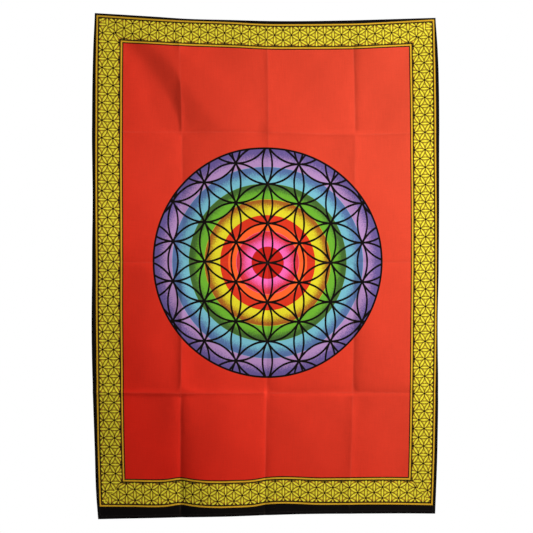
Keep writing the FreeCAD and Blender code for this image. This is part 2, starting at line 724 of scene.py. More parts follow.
class Graph:
    """The nodes of one material or world, and the few ways in which this file adds to them."""

    def __init__(self, owner: bpy.types.Material | bpy.types.World) -> None:
        """Empties the owner's tree and starts on it."""
        owner.use_nodes = True
        self.tree = owner.node_tree
        self.tree.nodes.clear()

    def node(
        self,
        kind: str,
        settings: dict[str, object] | None = None,
        inputs: dict[str | int, object] | None = None,
    ) -> bpy.types.Node:
        """Adds any node.

        Args:
            kind: Blender's name for its type.
            settings: what is set first; "stops" is a ramp's way of going from stop to stop and
                its list of (place, colour).
            inputs: values, sockets or numbers by the socket's identifier, name or place.

        Returns:
            The new node.
        """
        made = self.tree.nodes.new(kind)
        for name, setting in (settings or {}).items():
            if name == "stops":
                self.set_stops(made, *setting)
            else:
                setattr(made, name, setting)
        for name, given in (inputs or {}).items():
            self.feed(self.socket(made.inputs, name), given)
        return made

    @staticmethod
    def set_stops(ramp: bpy.types.Node, how: str, stops: Sequence[Stop]) -> None:
        """Gives a colour ramp its way of going between stops and its stops, in rising order."""
        ramp.color_ramp.interpolation = how
        elements = ramp.color_ramp.elements
        while len(elements) > 1:
            elements.remove(elements[-1])
        elements[0].position, elements[0].color = stops[0]
        for place, colour in stops[1:]:
            elements.new(place).color = colour

    @staticmethod
    def socket(sockets: Iterable[bpy.types.NodeSocket], name: str | int) -> bpy.types.NodeSocket:
        """Finds a socket by its identifier, then its name, or by its place."""
        if isinstance(name, int):
            return sockets[name]
        same = [socket for socket in sockets if socket.identifier == name]
        return same[0] if same else sockets[name]

    def feed(self, socket: bpy.types.NodeSocket, given: object) -> None:
        """Links a number or a socket to an input, or sets a plain value there."""
        if isinstance(given, Number):
            given = given.socket
        if isinstance(given, bpy.types.NodeSocket):
            self.tree.links.new(given, socket)
        else:
            socket.default_value = given

    def maths(self, operation: str, *terms: Term) -> Number:
        """Adds one Math node.

        Args:
            operation: Blender's name for what it does.
            terms: its numbers, in order.

        Returns:
            Its result.
        """
        made = self.node("ShaderNodeMath", {"operation": operation}, dict(enumerate(terms)))
        return Number(self, made.outputs[0])

    def mix(self, share: Term, under: Paint, over: Paint) -> bpy.types.NodeSocket:
        """Lays one colour over another.

        Args:
            share: how much of the upper colour shows.
            under: the lower colour.
            over: the upper colour.

        Returns:
            The mixed colour's socket.
        """
        made = self.node(
            "ShaderNodeMix",
            {"data_type": "RGBA", "clamp_factor": True},
            {"Factor_Float": share, "A_Color": under, "B_Color": over},
        )
        return self.socket(made.outputs, "Result_Color")

    def layer(self, name: str) -> tuple[Number, Number]:
        """The two numbers that a named UV map holds."""
        uv = self.node("ShaderNodeUVMap", {"uv_map": name})
        parts = self.node("ShaderNodeSeparateXYZ", inputs={0: uv.outputs[0]})
        return Number(self, parts.outputs[0]), Number(self, parts.outputs[1])

    def attribute(self, name: str) -> Number:
        """A number stored with the mesh."""
        made = self.node("ShaderNodeAttribute", {"attribute_name": name})
        return Number(self, self.socket(made.outputs, "Fac"))

    def place(self) -> bpy.types.NodeSocket:
        """The place in metres on the piece."""
        return self.socket(self.node("ShaderNodeTexCoord").outputs, "Object")

    def point(self, x: Term, y: Term, z: Term = 0.0) -> bpy.types.NodeSocket:
        """Three numbers as one vector."""
        return self.node("ShaderNodeCombineXYZ", inputs={0: x, 1: y, 2: z}).outputs[0]

    def length(self, x: Term, y: Term) -> Number:
        """The length of a flat vector."""
        made = self.node("ShaderNodeVectorMath", {"operation": "LENGTH"}, {0: self.point(x, y)})
        return Number(self, self.socket(made.outputs, "Value"))

    def noise(self, where: bpy.types.NodeSocket, scale: float, detail: float = 2) -> Number:
        """Cloudy noise about 0.5.

        Args:
            where: the place it is read at.
            scale: clouds to the unit of place.
            detail: how many finer layers are added.

        Returns:
            A number from 0 to 1.
        """
        made = self.node(
            "ShaderNodeTexNoise",
            inputs={"Vector": where, "Scale": scale, "Detail": detail, "Roughness": 0.55},
        )
        return Number(self, made.outputs[0])

    def ramp(self, place: Number, stops: Sequence[Stop], how: str) -> bpy.types.NodeSocket:
        """Reads a colour from a list of stops.

        Args:
            place: from 0 to 1.
            stops: (place, colour) in rising order.
            how: Blender's name for the way it goes from stop to stop.

        Returns:
            The colour's socket.
        """
        return self.node("ShaderNodeValToRGB", {"stops": (how, stops)}, {0: place}).outputs[0]

    def lattice(self, across: Number, along: Number) -> Lattice:
        """Measures against circles of radius 1 whose centres lie 1 apart, six round each.

        Args:
            across: the place in the direction in which centres lie 1 apart.
            along: the place at right angles to that.

        Returns:
            The distances that the pattern is drawn from.
        """
        first = across.wrapped(0.5), along.wrapped(ROOT_3 / 2)
        second = (across - 0.5).wrapped(0.5), (along - ROOT_3 / 2).wrapped(ROOT_3 / 2)
        to_first, to_second = self.length(*first), self.length(*second)
        nearer = to_first < to_second
        x, y = (b + nearer * (a - b) for a, b in zip(first, second))
        radius = to_first.least(to_second)
        turn = self.maths("PINGPONG", self.maths("ARCTAN2", y, x), math.pi / 6)
        run = radius * self.maths("COSINE", turn)
        rise = radius * self.maths("SINE", turn)
        return Lattice(self.length(run - 0.5, rise + ROOT_3 / 2) - 1, radius)

    def output(self, shader: bpy.types.Node) -> None:
        """Shows a shader on the surface."""
        self.node("ShaderNodeOutputMaterial", inputs={"Surface": shader.outputs[0]})


# ---------------------------------------------------------------------------------------------
# Finishes
# ---------------------------------------------------------------------------------------------


@dataclass(frozen=True)
class Weave:
    """Plain-woven cotton, as every finish of the cloth needs it.

    Attributes:
        pitch: from one thread to the next.
        slub_width: the width of an uneven thread.
        slub_length: the length over which it stays thick.
        depth: how far the weave stands out.
        mean_crown: the mean of what threads() gives.
        warp_layer: keeps the two ways' noise apart.
    """

    pitch: float = 0.46 * MM
    slub_width: float = 0.9 * MM
    slub_length: float = 28 * MM
    depth: float = 0.10 * MM
    mean_crown: float = 0.4
    warp_layer: float = 7.3

    def slubs(self, graph: Graph, u: Number, v: Number) -> Number:
        """Uneven threads running both ways, about zero."""
        wide, long = 1 / self.slub_width, 1 / self.slub_length
        weft = graph.noise(graph.point(u * long, v * wide), 1.0)
        warp = graph.noise(graph.point(u * wide, v * long, self.warp_layer), 1.0)
        return weft + warp - 1.0

    def threads(self, graph: Graph, u: Number, v: Number) -> Number:
        """The crowns of the threads as they pass over and under, from 0 to 1."""
        turn = math.pi / self.pitch
        over = graph.maths("SINE", u * turn) * graph.maths("SINE", v * turn)
        return abs(over)

    def bump(self, graph: Graph, height: Number) -> bpy.types.NodeSocket:
        """The normal that the weave's relief gives."""
        made = graph.node(
            "ShaderNodeBump",
            inputs={"Strength": 1.0, "Distance": self.depth, "Height": height},
        )
        return made.outputs[0]


COTTON_SPECULAR = 0.07
COTTON_FUZZ_ROUGHNESS = 0.4


def cotton_shader(
    graph: Graph, colour: Paint, roughness: Term, normal: bpy.types.NodeSocket, sheen: float
) -> None:
    """Ends a graph in matt cotton.

    Args:
        graph: the graph to end.
        colour: its base colour.
        roughness: its roughness.
        normal: its normal.
        sheen: the weight of its surface fuzz.
    """
    shader = graph.node(
        "ShaderNodeBsdfPrincipled",
        inputs={
            "Base Color": colour,
            "Roughness": roughness,
            "Normal": normal,
            "Specular IOR Level": COTTON_SPECULAR,
            "Sheen Weight": sheen,
            "Sheen Roughness": COTTON_FUZZ_ROUGHNESS,
        },
    )
    graph.output(shader)


@dataclass(frozen=True)
class Strip:
    """How the border's lattice lies in one direction of strip.

    Attributes:
        along: from one row of circle centres to the next, along the strip.
        across: from one centre to the next, across it.
        first: from the strip's outer edge to the first centre.
        start: how far below the print's middle, or left of it, a row of centres lies.
    """

    along: float
    across: float
    first: float
    start: float


@dataclass(frozen=True)
class Ring:
    """One coloured ring of the roundel, printed light and then shaded with dots.

    Attributes:
        outer: its outer radius.
        light: the colour printed all over it.
        dark: the colour that shades it.
        start: the radius where the shading starts.
        full: the radius where it is full.
    """

    outer: float
    light: Colour
    dark: Colour
    start: float
    full: float


@dataclass(frozen=True)
class PrintedCotton:
    """Cotton screen printed with a lattice border and a roundel on a red ground."""

    weave: Weave = Weave()
    half_width: float = 374.3 * MM
    half_height: float = 527.2 * MM
    ground_painted_lit: Colour = ink(209, 68, 44)  # painted light: the red as it shows where the light is strongest, to the right and top
    ground_painted_shaded: Colour = ink(209, 33, 18)  # painted shade: the red as it shows where the light falls off, to the left and the foot
    painted_shade_middle: float = 0.47                # how much of that painted shade there is at the print's middle
    painted_shade_down: float = 0.7                   # how fast it grows downward, to the metre,
    painted_shade_top: float = 0.2                    # from this height above the middle
    margin: Colour = ink(8, 5, 4)
    gold: Colour = ink(206, 158, 36)
    key: Colour = ink(12, 7, 5)

    soft: float = 0.3 * MM              # half the width over which one ink meets the next
    gold_width: float = 3.4 * MM
    outer_key_width: float = 2.5 * MM
    strip_width: float = 44.6 * MM
    inner_key_width: float = 2.3 * MM
    last_key_width: float = 2.2 * MM
    side_strip: Strip = Strip(18.93 * MM, 23.7 * MM, 7.3 * MM, 3.65 * MM)
    end_strip: Strip = Strip(18.5 * MM, 23.0 * MM, 7.6 * MM, 0.0)
    petal_ink: Colour = ink(228, 214, 54)
    field_ink: Colour = ink(178, 156, 32)
    dot_ink: Colour = ink(226, 210, 52)
    edge_ink: Colour = ink(206, 138, 40)
    stroke_ink: Colour = ink(84, 42, 16)
    tooth: float = 2.6 * MM             # how far the scalloped key line reaches into a strip
    tooth_edge: Pair = (-0.5 * MM, 0.4 * MM)
    tooth_strength: float = 0.65
    shaded_edge: Pair = (3 * MM, 9 * MM)    # where the strip's darker edges fade out
    shaded_strength: float = 0.55
    stroke_strength: float = 0.8
    # the rest of a strip's edges are in radii of the lattice's circles
    dot_edge: Pair = (0.46, 0.54)
    petal_edge: Pair = (-0.06, -0.02)
    stroke_edge: Pair = (0.020, 0.060)
    knot_edge: Pair = (0.07, 0.14)

    roundel_centre: Pair = (0.8 * MM, 1.1 * MM)
    roundel_radius: float = 250.5 * MM
    circle_width: float = 80.0 * MM     # the lattice circles' radius, level
    circle_height: float = 86.2 * MM    # and upright: the print is drawn out a little that way
    line_half: float = 2.05 * MM
    line_edge: Pair = (-0.25 * MM, 0.45 * MM)
    line_wobble: float = 1.1 * MM
    wobble_scale: float = 90.0
    wobble_layer: float = 3.1
    rim_half: float = 2.0 * MM
    rim_bleed: float = 0.5 * MM
    blot: float = 3.3 * MM              # the radius of the ink where lines cross
    stroke_width: float = 0.9 * MM      # of the marks that shade the rings
    stroke_length: float = 3.6 * MM
    stroke_contrast: Pair = (0.12, 0.88)
    rings: tuple[Ring, ...] = (
        Ring(35.3 * MM, ink(193, 32, 20), ink(193, 32, 20), 0.0, 1.0),
        Ring(68.0 * MM, ink(243, 103, 178), ink(204, 46, 52), 36 * MM, 66 * MM),
        Ring(86.0 * MM, ink(245, 95, 39), ink(245, 95, 39), 0.0, 1.0),
        Ring(103.4 * MM, ink(208, 50, 27), ink(208, 50, 27), 0.0, 1.0),
        Ring(138.0 * MM, ink(217, 204, 40), ink(158, 88, 30), 112 * MM, 137 * MM),
        Ring(173.0 * MM, ink(104, 169, 46), ink(64, 96, 42), 146 * MM, 168 * MM),
        Ring(209.0 * MM, ink(112, 176, 191), ink(80, 104, 150), 178 * MM, 206 * MM),
        Ring(252.0 * MM, ink(169, 130, 178), ink(96, 80, 136), 214 * MM, 246 * MM),
    )

    cloud_scale: float = 14.0           # of the print's broad unevenness
    fine_scale: float = 420.0           # and of its fine unevenness
    slub_tone: float = 0.16             # how far each kind lightens or darkens the print
    cloud_tone: float = 0.10
    fine_tone: float = 0.10
    # painted shade of the weave: the print is lighter on the threads' crowns and darker between
    # them
    weave_shade_tone: float = 0.05
    crease_paling_share: Pair = (0.012, 0.08)   # how far the print pales along a crease: everywhere, and in patches
    crease_pale_ink: Colour = ink(246, 196, 170)
    reverse_loss: Pair = (0.42, 0.25)   # and of the ink on the reverse
    bare: Colour = ink(226, 188, 168)

    def past(self, inward: Number, place: float) -> Number:
        """1 further in from the print's edge than a place, and 0 outside it."""
        return inward.rise(place - self.soft, place + self.soft)

    def lattice_colour(
        self, graph: Graph, u: Number, v: Number, side: Number
    ) -> bpy.types.NodeSocket:
        """The border strips' lattice of petals.

        Args:
            graph: the graph to add to.
            u: the place across the print.
            v: the place up it.
            side: 1 in the two upright strips.

        Returns:
            The colour there.
        """
        def turned(upright: Term, level: Term) -> Number:
            """The first in an upright strip, the second in a level one."""
            return level + side * (upright - level)

        start = self.gold_width + self.outer_key_width
        upright, level = self.side_strip, self.end_strip
        in_side = self.half_width - abs(u) - start
        in_end = self.half_height - abs(v) - start
        across = turned(
            (in_side - upright.first) / upright.across, (in_end - level.first) / level.across
        )
        along = turned((v + upright.start) / upright.along, (u + level.start) / level.along)
        found = graph.lattice(across, along * (ROOT_3 / 2))
        inside = turned(in_side, in_end)
        from_edge = inside.least(self.strip_width - inside)
        scallop = abs(graph.maths("SINE", along * (2 * math.pi)))
        tooth = self.tooth * scallop * scallop - from_edge
        colour = self.field_ink
        for share, over in (
            (from_edge.fall(*self.shaded_edge) * self.shaded_strength, self.edge_ink),
            (found.centre.rise(*self.dot_edge), self.dot_ink),
            (found.petal.fall(*self.petal_edge), self.petal_ink),
            (abs(found.petal).fall(*self.stroke_edge) * self.stroke_strength, self.stroke_ink),
            (found.centre.fall(*self.knot_edge), self.key),
            (tooth.rise(*self.tooth_edge) * self.tooth_strength, self.key),
        ):
            colour = graph.mix(share, colour, over)
        return colour

    def ring_ramp(self, graph: Graph, radius: Number, dark: bool) -> bpy.types.NodeSocket:
        """The rings' light or dark colour at a radius, with hard edges between rings."""
        reach = self.rings[-1].outer
        starts = [0.0, *(ring.outer / reach for ring in self.rings[:-1])]
        inks = [ring.dark if dark else ring.light for ring in self.rings]
        return graph.ramp(radius / reach, list(zip(starts, inks)), "CONSTANT")

    def shading(self, graph: Graph, radius: Number) -> bpy.types.NodeSocket:
        """How full the shading is at a radius."""
        reach = self.rings[-1].outer
        drop = 0.0004               # the share over which the shading stops at a ring's rim
        stops: list[Stop] = [(0.0, BLACK)]
        for ring in self.rings:
            if ring.start > 0:
                stops += [(ring.start / reach, BLACK), (ring.full / reach, WHITE)]
                stops += [(ring.outer / reach, WHITE), (ring.outer / reach + drop, BLACK)]
        return graph.ramp(radius / reach, stops[:-1], "LINEAR")

    def roundel(self, graph: Graph, u: Number, v: Number, ground: Paint) -> bpy.types.NodeSocket:
        """Prints the roundel over the ground.

        Args:
            graph: the graph to add to.
            u: the place across the print.
            v: the place up it.
            ground: the colour underneath.

        Returns:
            The colour with the roundel on it.
        """
        x, y = u - self.roundel_centre[0], v - self.roundel_centre[1]
        radius = graph.length(x, y)
        marks_round = self.roundel_radius / 2 / self.stroke_width
        grain = graph.noise(
            graph.point(
                x / radius * marks_round, y / radius * marks_round, radius / self.stroke_length
            ),
            scale=1.0,
            detail=1.0,
        )
        amount = graph.node("ShaderNodeRGBToBW", inputs={0: self.shading(graph, radius)})
        marked = Number(graph, amount.outputs[0]) + (grain - 0.5)
        light = self.ring_ramp(graph, radius, dark=False)
        dark = self.ring_ramp(graph, radius, dark=True)
        colour = graph.mix(marked.rise(*self.stroke_contrast), light, dark)
        found = graph.lattice(y / self.circle_height, x / self.circle_width)
        size = (self.circle_width + self.circle_height) / 2
        wobble = graph.noise(graph.point(u, v, self.wobble_layer), self.wobble_scale) - 0.5
        half = self.line_half + wobble * self.line_wobble
        line = (abs(found.petal) * size).fall(half + self.line_edge[0], half + self.line_edge[1])
        blots = (found.centre * size).fall(self.blot - 2 * self.soft, self.blot + 2 * self.soft)
        from_rim = radius - self.roundel_radius
        rim = abs(from_rim).fall(self.rim_half - self.soft, self.rim_half + self.rim_bleed)
        colour = graph.mix(line.most(blots), colour, self.key)
        colour = graph.mix(self.past(from_rim, 0.0), colour, ground)
        return graph.mix(rim, colour, self.key)

    def printed(self, graph: Graph, u: Number, v: Number) -> bpy.types.NodeSocket:
        """The whole print, from the cloth's edge inward."""
        from_side = self.half_width - abs(u)
        from_end = self.half_height - abs(v)
        inward = from_side.least(from_end)
        bands = (
            (self.gold_width, self.gold),
            (self.outer_key_width, self.key),
            (self.strip_width, self.lattice_colour(graph, u, v, from_side < from_end)),
            (self.inner_key_width, self.key),
            (self.gold_width, self.gold),
            (self.last_key_width, self.key),
        )
        # painted shade: the red is darkened toward the left and the foot, where the light falls
        # off
        painted_shade_share = self.painted_shade_middle - u - v.least(self.painted_shade_top) * self.painted_shade_down
        ground = graph.mix(painted_shade_share, self.ground_painted_lit, self.ground_painted_shaded)
        border = sum(width for width, _ in bands)
        colour = graph.mix(self.past(inward, border), self.margin, ground)
        colour = self.roundel(graph, u, v, colour)
        place = 0.0
        for width, shade in bands:
            within = self.past(inward, place) - self.past(inward, place + width)
            colour = graph.mix(within, colour, shade)
            place += width
        return colour

    def material(self) -> bpy.types.Material:
        """Makes the printed face, and its paler reverse where the mesh says so."""
        made = bpy.data.materials.new("printed_cotton")
        graph = Graph(made)
        u, v = graph.layer("Print")
        place = graph.point(u, v)
        slubs = self.weave.slubs(graph, u, v)
        threads = self.weave.threads(graph, u, v)
        cloudy = graph.noise(place, self.cloud_scale, 4.0) - 0.5
        fine = graph.noise(place, self.fine_scale, 2.0) - 0.5
        bright = 1.0 + slubs * self.slub_tone + cloudy * self.cloud_tone
        # the last term is painted shade of the weave, lighter on the crowns and darker in the
        # hollows
        bright += fine * self.fine_tone + (threads - self.weave.mean_crown) * self.weave_shade_tone
        colour = self.printed(graph, u, v)
        tone = graph.node("ShaderNodeHueSaturation", inputs={"Value": bright, "Color": colour})
        everywhere, patchy = self.crease_paling_share
        # the print is made paler along the creases
        worn = graph.attribute("crease_paling") * (everywhere + cloudy * patchy)
        colour = graph.mix(worn, tone.outputs[0], self.crease_pale_ink)
        everywhere, patchy = self.reverse_loss
        through = graph.mix(everywhere + cloudy * patchy, colour, self.bare)
        colour = graph.mix(graph.attribute("reverse"), colour, through)
        roughness = 0.84 + cloudy * 0.12 + threads * 0.05
        normal = self.weave.bump(graph, threads * 0.35 + slubs * 1.3 + fine * 0.4)
        cotton_shader(graph, colour, roughness, normal, sheen=0.02)
        return made


@dataclass(frozen=True)
class BlackCotton:
    """The black-printed margin, turned and sewn, a little rubbed along its folded edge."""

    weave: Weave = Weave()
    black: Colour = ink(9, 7, 6)
    rubbed: Colour = ink(38, 29, 26)
    rub_scale: float = 60.0
    rub_edge: Pair = (0.42, 0.70)       # where the patchy rubbing starts and is full
    rub_strength: float = 0.55
    slub_tone: float = 0.25

    def material(self) -> bpy.types.Material:
        """Makes the hem's finish."""
        made = bpy.data.materials.new("hem_cotton")
        graph = Graph(made)
        u, v = graph.layer("Print")
        slubs = self.weave.slubs(graph, u, v)
        threads = self.weave.threads(graph, u, v)
        patches = graph.noise(graph.point(u, v), self.rub_scale, 3.0)
        worn = graph.attribute("fold_wear") * patches.rise(*self.rub_edge)
        share = worn * self.rub_strength + slubs * self.slub_tone
        colour = graph.mix(share, self.black, self.rubbed)
        normal = self.weave.bump(graph, threads * 0.35 + slubs * 1.2)
        cotton_shader(graph, colour, 0.86 + slubs * 0.1, normal, sheen=0.02)
        return made


@dataclass(frozen=True)
class BlackThread:
    """Two-ply sewing thread."""

    black: Colour = ink(24, 20, 20)
    # painted highlight: the paler colour of the plies' crowns, with the grooves between plies left
    # darker as painted shade
    light: Colour = ink(66, 58, 56)
    twist: float = 0.5 * MM             # from one ply to the next
    ply_depth: float = 0.05 * MM
    fuzz_scale: float = 900.0

    def material(self) -> bpy.types.Material:
        """Makes the thread's finish."""
        made = bpy.data.materials.new("sewing_thread")
        graph = Graph(made)
        where = graph.place()
        parts = graph.node("ShaderNodeSeparateXYZ", inputs={0: where})
        x, y, z = (Number(graph, socket) for socket in parts.outputs)
        ply_relief_and_shade = abs(graph.maths("SINE", (x + y + z) * (2 * math.pi / self.twist)))
        fuzz = graph.noise(where, self.fuzz_scale)
        # painted highlight on the plies' crowns and painted shade in their grooves, with random
        # fuzz
        colour = graph.mix(ply_relief_and_shade * 0.5 + fuzz * 0.3, self.black, self.light)
        bump = graph.node(
            "ShaderNodeBump",
            inputs={"Strength": 0.8, "Distance": self.ply_depth, "Height": ply_relief_and_shade},
        )
        cotton_shader(graph, colour, 0.55 + fuzz * 0.2, bump.outputs[0], sheen=0.04)
        return made


# ---------------------------------------------------------------------------------------------
# The pieces
# ---------------------------------------------------------------------------------------------


@dataclass(frozen=True)
class PrintRegister:
    """Where the print lies on the cloth: not quite square to it, as screens are set by hand.

    Attributes:
        area: the print's outer edges, as the cloth hangs.
        half_width: half the print's width, before it hangs.
        half_height: half its height.
        slip: how far everything inside its border sits to the right and upward.
        slip_power: how closely the slip keeps its full size towards the border.
        sag: by share of the width, how far the foot of the border hangs lower than that.
        sag_rise: the shares of the height between which the sag sets in.
    """

    area: Patch
    half_width: float
    half_height: float
    slip: Pair = (2.0 * MM, 2.7 * MM)
    slip_power: int = 8
    sag: Knots = ((0.0, 0.0), (1.0, 0.0))
    sag_rise: Pair = (0.80, 0.94)

    def coordinates(self, x: np.ndarray, z: np.ndarray) -> tuple[np.ndarray, np.ndarray]:
        """The places on the print, from its middle, of points on the hanging cloth."""
        across, down = self.area.shares(x, z)
        s, t = 2 * across - 1, 1 - 2 * down
        u = s * self.half_width - self.slip[0] * (1 - s**self.slip_power)
        v = t * self.half_height - self.slip[1] * (1 - t**self.slip_power)
        return u, v + curve(across, self.sag) * ease(down, *self.sag_rise)


def paint_print(mesh: bpy.types.Mesh, register: PrintRegister) -> None:
    """Stores the place on the print with every corner of every face."""
    points = points_of(mesh)
    u, v = register.coordinates(points[:, 0], points[:, 2])
    corner = corners_of(mesh)
    store_layer(mesh, "Print", u[corner], v[corner])


@dataclass
class ClothPanel:
    """The one sheet of printed cotton, printed face and reverse, with its real thickness."""

    drape: Drape
    register: PrintRegister
    material: bpy.types.Material
    columns: int = 44           # mesh steps between one upright crease and the next
    rows: int = 60              # and between one level crease and the next
    crowding: float = 0.72      # of the steps towards the creases
    edge_inset: float = 0.4 * MM    # inside the hems' folded edges
    front_share: float = 0.66   # of the square that the printed face is laid out on
    gutter: float = 0.004       # left free round the face and the reverse

    def make(self) -> bpy.types.Object:
        """Cuts, hangs and prints the cloth.

        Returns:
            The finished piece.
        """
        bm = bmesh.new()
        bmesh.ops.create_grid(bm, x_segments=4 * self.columns, y_segments=4 * self.rows, size=0.5)
        bmesh.ops.rotate(bm, verts=bm.verts, matrix=Matrix.Rotation(math.pi / 2, 3, "X"))
        bmesh.ops.recalc_face_normals(bm, faces=bm.faces)
        if bm.faces[:][0].normal.y > 0:
            bmesh.ops.reverse_faces(bm, faces=bm.faces)
        bmesh.ops.solidify(bm, geom=bm.faces[:], thickness=self.drape.cloth)
        piece = new_piece("printed_cloth", bm, 60)
        mesh = piece.data
        table = points_of(mesh)
        depth = np.where(np.abs(table[:, 1]) > self.drape.cloth / 2, self.drape.cloth, 0.0)
        layout = table[:, [0, 2]].copy()
        move_points(mesh, self.hung(table, depth))
        paint_print(mesh, self.register)
        self.lay_out(mesh, layout, depth)
        self.mark(mesh, depth)
        mesh.materials.append(self.material)
        return piece

    def hung(self, table: np.ndarray, depth: np.ndarray) -> np.ndarray:
        """Crowds the even grid towards the creases and hangs it."""
        crease_across, crease_down = self.drape.shares_of_creases()
        lines_across = crowded([0, *crease_across, 1], self.columns, self.crowding)
        lines_down = crowded([0, *crease_down, 1], self.rows, self.crowding)
        column = np.clip(table[:, 0] + 0.5, 0, 1) * 4 * self.columns
        row = np.clip(0.5 - table[:, 2], 0, 1) * 4 * self.rows
        across = lines_across[np.rint(column).astype(int)]
        down = lines_down[np.rint(row).astype(int)]
        inset_across = self.edge_inset / self.drape.width
        inset_down = self.edge_inset / self.drape.length
        across = np.clip(across, inset_across, 1 - inset_across)
        down = np.clip(down, inset_down, 1 - inset_down)
        return self.drape.place(across, down, depth)

    def lay_out(self, mesh: bpy.types.Mesh, layout: np.ndarray, depth: np.ndarray) -> None:
        """Lays the face and the reverse side by side on one square, with no overlap.

        Args:
            mesh: the cloth's mesh.
            layout: each point's even place on the grid, from -0.5 to 0.5.
            depth: each point's depth behind the printed face.
        """
        corner = corners_of(mesh)
        sizes = np.zeros(len(mesh.polygons), int)
        mesh.polygons.foreach_get("loop_total", sizes)
        face = np.repeat(np.arange(len(mesh.polygons)), sizes)
        mean_depth = np.bincount(face, depth[corner]) / sizes / self.drape.cloth
        side = mean_depth[face]
        across, up = layout[corner, 0] + 0.5, layout[corner, 1] + 0.5
        back_start = self.front_share + 2 * self.gutter
        u = np.select(
            [side < 0.1, side > 0.9],
            [
                self.gutter + across * (self.front_share - 2 * self.gutter),
                back_start + (1 - across) * (1 - self.gutter - back_start),
            ],
            self.front_share + self.gutter * (0.3 + 0.4 * depth[corner] / self.drape.cloth),
        )
        store_layer(mesh, "OFBake", u, self.gutter + up * (1 - 2 * self.gutter))

    def mark(self, mesh: bpy.types.Mesh, depth: np.ndarray) -> None:
        """Stores where the cloth pales along the creases and which side is the reverse."""
        points = points_of(mesh)
        store_number(mesh, "crease_paling", self.drape.near_crease(points[:, 0], points[:, 2]))
        store_number(mesh, "reverse", depth > self.drape.cloth / 2)


@dataclass(frozen=True)
class ClothEdge:
    """One edge of the cloth as it lies on the cutting table."""

    side: Side
    drape: Drape

    @property
    def length(self) -> float:
        """The edge's flat length."""
        return self.drape.length if self.side.upright else self.drape.width

    def table(self, inward: np.ndarray, depth: np.ndarray, along: np.ndarray) -> np.ndarray:
        """Lays points along this edge.

        Args:
            inward: the points' distances in from the edge.
            depth: their depths behind the printed face.
            along: their places along the edge.

        Returns:
            Rows of x, y and z on the table.
        """
        x, z = {
            Side.TOP: (along, -inward),
            Side.BOTTOM: (along, inward - self.drape.length),
            Side.LEFT: (inward, -along),
            Side.RIGHT: (self.drape.width - inward, -along),
        }[self.side]
        return np.stack([x, depth, z], axis=1)


@dataclass
class Hem:
    """The doubled hem of one side: a flattened tube of cloth that wraps the folded edge."""

    edge: ClothEdge
    register: PrintRegister
    material: bpy.types.Material
    width: float = 8 * MM
    layers: int = 2             # behind the printed layer
    lip: float = 0.9 * MM       # how far the rolled edge shows on the front
    lip_flat: float = 0.35      # the share of the lip that stays level
    clear: float = 0.02 * MM    # from the cloth inside it
    rub_reach: Pair = (0.2 * MM, 1.6 * MM)
    ring_points: int = 24
    ring_spacing: float = 2.8 * MM
    pucker: float = 0.16 * MM
    pucker_length: float = 13 * MM
    pucker_wander: float = 1.7  # radians by which the puckers' spacing wanders
    wander_length: float = 31 * MM
    squareness: float = 0.45    # of its section, from 1 for an ellipse to 0 for a box

    def make(self) -> bpy.types.Object:
        """Rolls, sews flat and hangs the hem.

        Returns:
            The finished piece.
        """
        bm = bmesh.new()
        bmesh.ops.create_cone(
            bm, cap_ends=True, segments=self.ring_points, radius1=1, radius2=1, depth=1
        )
        long_edges = [e for e in bm.edges if abs(e.verts[0].co.z - e.verts[1].co.z) > 0.5]
        cuts = round(self.edge.length / self.ring_spacing)
        bmesh.ops.subdivide_edges(bm, edges=long_edges, cuts=cuts, use_grid_fill=False)
        bmesh.ops.recalc_face_normals(bm, faces=bm.faces)
        piece = new_piece(f"{self.edge.side.value}_hem_fold", bm, 50)
        mesh = piece.data
        inward, depth, along = self.section(points_of(mesh))
        move_points(mesh, self.edge.drape.hang(self.edge.table(inward, depth, along)))
        self.face_outward(mesh)
        paint_print(mesh, self.register)
        store_number(mesh, "fold_wear", 1 - ease(inward, *self.rub_reach))
        mesh.materials.append(self.material)
        return piece

    def section(self, ring: np.ndarray) -> tuple[np.ndarray, np.ndarray, np.ndarray]:
        """Presses a round tube into the hem's section.

        Args:
            ring: the tube's points, round an upright axis of length 1.

        Returns:
            The points' distances in from the edge, their depths, and their places along.
        """
        turn = np.arctan2(ring[:, 1], ring[:, 0])
        inward = self.width / 2 * (1 - np.cos(turn))
        cloth = self.edge.drape.cloth
        back = cloth * (1 + self.layers)
        front = cloth * ease(inward, self.lip_flat * self.lip, self.lip) + self.clear
        middle = (front + back) / 2
        roundness = np.abs(np.sin(turn)) ** self.squareness
        outer = np.where(np.sin(turn) > 0, back, front)
        depth = middle + (outer - middle) * roundness
        share = ring[:, 2] + 0.5
        along = inward + share * (self.edge.length - 2 * inward)    # mitred at both ends
        wander = self.pucker_wander * np.sin(along / self.wander_length)
        wave = np.sin(2 * math.pi * along / self.pucker_length + wander)
        swell = np.sin(math.pi * np.clip(inward / self.width, 0, 1))
        return inward, depth - self.pucker * 0.5 * (1 + wave) * swell * (depth > middle), along

    @staticmethod
    def face_outward(mesh: bpy.types.Mesh) -> None:
        """Points every face away from the inside of the tube."""
        bm = bmesh.new()
        bm.from_mesh(mesh)
        bmesh.ops.recalc_face_normals(bm, faces=bm.faces)
        bm.to_mesh(mesh)
        bm.free()


class ThreadLine(Enum):
    """The two threads of a lockstitch."""

    NEEDLE = "needle"
    BOBBIN = "bobbin"


